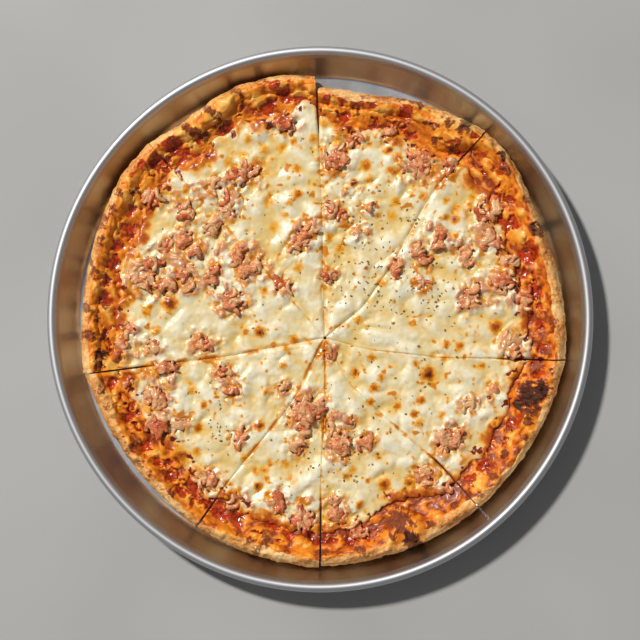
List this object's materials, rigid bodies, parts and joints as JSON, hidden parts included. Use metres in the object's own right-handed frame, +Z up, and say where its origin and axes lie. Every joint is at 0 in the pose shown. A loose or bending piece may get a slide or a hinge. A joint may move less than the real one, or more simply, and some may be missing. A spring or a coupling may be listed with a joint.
{
  "type": "deep dish pizza",
  "caption": "Round cheese and ham pizza with a thick raised crust, cut into slices, in its shallow round aluminium pan with a rolled rim.",
  "frame": {"origin": "centre of the pan's underside, on the surface it stands on", "axes": "+Z up; +X to the right and +Y to the top of the pizza as seen from above"},
  "size_m": [0.4064, 0.4064, 0.026],
  "materials": {
    "pan": "spun bare aluminium, lightly scratched",
    "crust": "baked dough, golden with browned bubbles",
    "sauce": "cooked tomato sauce, moist",
    "cheese": "melted cheese, oily, with browned spots and dried herbs",
    "ham": "moist cooked ham, pink to brown"
  },
  "bodies": {
    "root": {"pan": "pan", "crust_1": "crust", "crust_2": "crust", "crust_3": "crust", "crust_4": "crust", "crust_5": "crust", "crust_6": "crust", "crust_7": "crust", "crust_8": "crust", "sauce_1": "sauce", "sauce_2": "sauce", "sauce_3": "sauce", "sauce_4": "sauce", "sauce_5": "sauce", "sauce_6": "sauce", "sauce_7": "sauce", "sauce_8": "sauce", "cheese_1": "cheese", "cheese_2": "cheese", "cheese_3": "cheese", "cheese_4": "cheese", "cheese_5": "cheese", "cheese_6": "cheese", "cheese_7": "cheese", "cheese_8": "cheese", "ham_01": "ham", "ham_02": "ham", "ham_03": "ham", "ham_04": "ham", "ham_05": "ham", "ham_06": "ham", "ham_07": "ham", "ham_08": "ham", "ham_09": "ham", "ham_10": "ham", "ham_11": "ham", "ham_12": "ham", "ham_13": "ham", "ham_14": "ham", "ham_15": "ham", "ham_16": "ham", "ham_17": "ham", "ham_18": "ham", "ham_19": "ham", "ham_20": "ham", "ham_21": "ham", "ham_22": "ham", "ham_23": "ham", "ham_24": "ham", "ham_25": "ham", "ham_26": "ham", "ham_27": "ham", "ham_28": "ham", "ham_29": "ham", "ham_30": "ham", "ham_31": "ham", "ham_32": "ham", "ham_33": "ham", "ham_34": "ham", "ham_35": "ham"}
  },
  "joints": []
}
